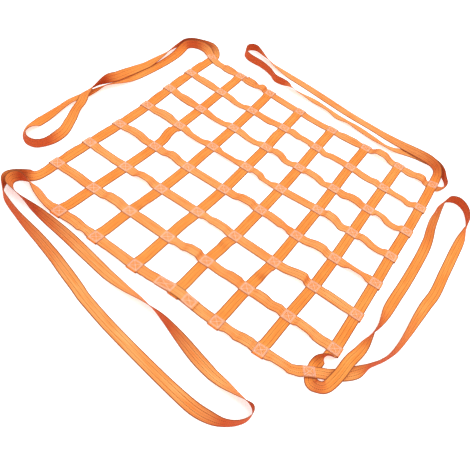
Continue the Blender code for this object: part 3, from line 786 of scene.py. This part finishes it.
class Nodes:
    """A new material with short names for making and joining its nodes."""

    def __init__(self, name):
        self.material = bpy.data.materials.new(name)
        self.material.use_nodes = True
        self.tree = self.material.node_tree
        self.shader = self.tree.nodes["Principled BSDF"]

    def make(self, kind, **values):
        """Add a node and set its properties, or else its inputs, by name."""
        node = self.tree.nodes.new(kind)
        for key, value in values.items():
            if hasattr(node, key):
                setattr(node, key, value)
            else:
                node.inputs[key.replace("_", " ")].default_value = value
        return node

    def link(self, source, target):
        """Join an output to an input."""
        self.tree.links.new(source, target)

    def feed(self, sockets, values):
        """Join or set each input."""
        for socket, value in zip(sockets, values):
            if isinstance(value, bpy.types.NodeSocket):
                self.link(value, socket)
            else:
                socket.default_value = value

    def math(self, operation, first, second=0.0):
        """The output of a calculation on one or two values."""
        node = self.tree.nodes.new("ShaderNodeMath")
        node.operation = operation
        self.feed(node.inputs, (first, second))
        return node.outputs[0]

    def mix(self, share, first, second):
        """The output of a mix of two colours."""
        node = self.tree.nodes.new("ShaderNodeMix")
        node.data_type = "RGBA"
        self.feed((node.inputs[0], node.inputs[6], node.inputs[7]), (share, first, second))
        return node.outputs[2]

    def noise(self, place, scale, detail):
        """The output of a noise over a place."""
        node = self.make("ShaderNodeTexNoise", Scale=scale, Detail=detail)
        self.link(place, node.inputs["Vector"])
        return node.outputs[0]

    def over(self, value, start, gain, most=1.0):
        """How far a value is over a start, times a gain, from 0 to a most."""
        rise = self.math("MULTIPLY", self.math("SUBTRACT", value, start), gain)
        return self.math("MINIMUM", self.math("MAXIMUM", rise, 0.0), most)

    def wave(self, place, pitch):
        """The output of a sine along a place."""
        return self.math("SINE", self.math("MULTIPLY", place, 2 * math.pi / pitch))


def weave(nodes, along, across):
    """Height of the weave: slanted picks between lengthwise ends."""
    ends = nodes.wave(across, END_PITCH)
    picks = nodes.wave(nodes.math("ADD", along, nodes.math("PINGPONG", across, CHEVRON)), PICK_PITCH)
    return nodes.math("ADD", nodes.math("MULTIPLY", ends, 0.5), nodes.math("MULTIPLY", picks, 0.5))


def dark_lines(nodes, along, middle):
    """How dark the dashed marker lines are, and the band painted darker along both edges."""
    dash = nodes.math("GREATER_THAN", nodes.wave(along, DASH_PITCH), DASH_GAP)
    marks = 0.0
    for place, half, share in MARKER_LINES:
        away = nodes.math("ABSOLUTE", nodes.math("SUBTRACT", middle, place))
        near = nodes.math("MULTIPLY", nodes.math("LESS_THAN", away, half), share)
        marks = nodes.math("MAXIMUM", marks, near)
    marks = nodes.math("MULTIPLY", marks, dash)
    selvedge = nodes.math("MULTIPLY", nodes.math("GREATER_THAN", middle, SELVEDGE_START), SELVEDGE_SHARE)
    return nodes.math("MAXIMUM", marks, selvedge)


def faded_and_sheen_orange(nodes, place, uv):
    """The webbing's orange: paler along X from painted sheen, with deeper clouds and streaks."""
    stretch = nodes.make("ShaderNodeMapping", Scale=STREAK_STRETCH)
    nodes.link(uv, stretch.inputs["Vector"])
    # Painted sheen: the pale orange is mixed in where a strap runs along X.
    pale = nodes.make("ShaderNodeAttribute", attribute_name="pale").outputs["Fac"]
    base = nodes.mix(nodes.math("MULTIPLY", pale, SHEEN_SHARE), FLAT_ORANGE, SHEEN_ORANGE)
    clouds = nodes.over(nodes.noise(place, *CLOUD_NOISE), *CLOUD_SHARE)
    streaks = nodes.over(nodes.noise(stretch.outputs[0], *STREAK_NOISE), *STREAK_SHARE)
    return nodes.mix(streaks, nodes.mix(clouds, base, DEEP_ORANGE), DEEP_ORANGE)


def slope_shade_share(nodes):
    """How steep the webbing is, from 0 where it lies flat to 1: the share of painted shade on steep faces.
    """
    normal = nodes.make("ShaderNodeNewGeometry").outputs["Normal"]
    facing = nodes.make("ShaderNodeSeparateXYZ")
    nodes.link(normal, facing.inputs[0])
    slope = nodes.math("SUBTRACT", 1.0, nodes.math("ABSOLUTE", facing.outputs[2]))
    slope = nodes.math("MULTIPLY", nodes.math("POWER", slope, SLOPE_SHADE_POWER), SLOPE_SHADE_GAIN)
    return nodes.math("MINIMUM", slope, 1.0)


def webbing_material():
    """Woven polyester: fine ribs, dark lines, fading, and a pink tint with dark specks where it is sewn;
    painted sheen along X, and painted shade on steep faces and in the weave's grooves.
    """
    nodes = Nodes("webbing")
    uv = nodes.make("ShaderNodeUVMap", uv_map="webbing").outputs[0]
    place = nodes.make("ShaderNodeTexCoord").outputs["Object"]
    split = nodes.make("ShaderNodeSeparateXYZ")
    nodes.link(uv, split.inputs[0])
    along, across = split.outputs[0], split.outputs[1]
    middle = nodes.math("ABSOLUTE", nodes.math("SUBTRACT", across, HALF * MM))
    ribs = weave(nodes, along, across)
    # Painted shade: steep faces are mixed towards a darker red.
    base = nodes.mix(slope_shade_share(nodes), faded_and_sheen_orange(nodes, place, uv), SLOPE_SHADE_RED)
    # Painted shade in the weave's low parts.
    shade = nodes.math("MULTIPLY", nodes.math("SUBTRACT", 1.0, ribs), WEAVE_SHADE)
    base = nodes.mix(shade, base, LINE_ORANGE)
    base = nodes.mix(dark_lines(nodes, along, middle), base, LINE_ORANGE)
    sewn = nodes.make("ShaderNodeAttribute", attribute_name="sewn").outputs["Fac"]
    base = nodes.mix(nodes.math("MULTIPLY", sewn, SEWN_TINT), base, SEWN_PINK)
    specks = nodes.math("GREATER_THAN", nodes.noise(place, *SPECK_NOISE), SPECK_START)
    specks = nodes.math("MULTIPLY", nodes.math("MULTIPLY", specks, SPECK_SHARE), sewn)
    base = nodes.mix(specks, base, LINE_ORANGE)
    nodes.link(base, nodes.shader.inputs["Base Color"])
    nodes.shader.inputs["Roughness"].default_value = WEBBING_ROUGHNESS
    nodes.shader.inputs["Specular IOR Level"].default_value = WEBBING_SHINE
    bump = nodes.make("ShaderNodeBump", Strength=WEAVE_STRENGTH, Distance=WEAVE_DEPTH)
    nodes.link(ribs, bump.inputs["Height"])
    nodes.link(bump.outputs[0], nodes.shader.inputs["Normal"])
    return nodes.material


def thread_material():
    """Pale sewing thread."""
    nodes = Nodes("thread")
    place = nodes.make("ShaderNodeTexCoord").outputs["Object"]
    clouds = nodes.math("MULTIPLY", nodes.noise(place, *THREAD_NOISE), THREAD_SHARE)
    nodes.link(nodes.mix(clouds, THREAD_PINK, SEWN_PINK), nodes.shader.inputs["Base Color"])
    nodes.shader.inputs["Roughness"].default_value = THREAD_ROUGHNESS
    return nodes.material


def floor():
    """A plain pale floor just under the net."""
    nodes = Nodes("floor")
    nodes.shader.inputs["Base Color"].default_value = FLOOR_WHITE
    nodes.shader.inputs["Roughness"].default_value = 1.0
    nodes.shader.inputs["Specular IOR Level"].default_value = 0.0
    nodes.shader.inputs["Emission Color"].default_value = WHITE
    nodes.shader.inputs["Emission Strength"].default_value = FLOOR_GLOW
    mesh = bpy.data.meshes.new("floor")
    sides = ((-1, -1), (1, -1), (1, 1), (-1, 1))
    corners = [(x * FLOOR_REACH, y * FLOOR_REACH, FLOOR_HEIGHT) for x, y in sides]
    mesh.from_pydata(corners, [], [(0, 1, 2, 3)])
    mesh.materials.append(nodes.material)
    item = bpy.data.objects.new("floor", mesh)
    bpy.context.collection.objects.link(item)


def lights():
    """A soft light high behind the net, and an even pale sky."""
    world = bpy.context.scene.world or bpy.data.worlds.new("sky")
    bpy.context.scene.world = world
    world.use_nodes = True
    sky = world.node_tree.nodes["Background"]
    sky.inputs["Color"].default_value = WHITE
    sky.inputs["Strength"].default_value = SKY_STRENGTH
    bpy.context.scene.view_settings.view_transform = "Standard"
    lamp = bpy.data.lights.new("softbox", "SUN")
    lamp.energy = SUN_STRENGTH
    lamp.angle = math.radians(SUN_SPREAD)
    item = bpy.data.objects.new("softbox", lamp)
    item.rotation_euler = SUN_FROM.to_track_quat("Z", "Y").to_euler()
    bpy.context.collection.objects.link(item)


def camera():
    """The photograph's viewpoint."""
    data = bpy.data.cameras.new("camera")
    data.lens = CAMERA_LENS
    data.sensor_width = CAMERA_SENSOR
    item = bpy.data.objects.new("camera", data)
    bpy.context.collection.objects.link(item)
    turn = Matrix((CAMERA_RIGHT, CAMERA_UP, CAMERA_RIGHT.cross(CAMERA_UP))).transposed().to_4x4()
    item.matrix_world = Matrix.Translation((CAMERA_PLACE + NET_TO_FRAME) * MM) @ turn
    bpy.context.scene.camera = item


def dress_straps(routes, patches):
    """The webbing of every strap, each in place of its solid."""
    webbing = webbing_material()
    for node, stations in routes.items():
        strap, length = skin(f"{node}_webbing", stations, patches)
        strap.data.materials.append(webbing)
        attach(strap, "root")
        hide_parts(node)


def dress_patches(patches):
    """The stitches, shared between two pieces so that each stays small."""
    thread = thread_material()
    half = len(patches) // 2
    for name, group in (("stitches_inner", patches[:half]), ("stitches_outer", patches[half:])):
        seams = sew(name, group, thread)
        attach(seams, "root")


def main():
    """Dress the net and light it."""
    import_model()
    routes = {"border_band": border_band()}
    for letter in "ab":
        for number in range(1, 7):
            routes[f"strap_{letter}{number}"] = inner_strap(f"{letter}{number}")
    patches = sewn_patches(routes["border_band"])
    dress_straps(routes, patches)
    dress_patches(patches)
    floor()
    lights()
    camera()


main()
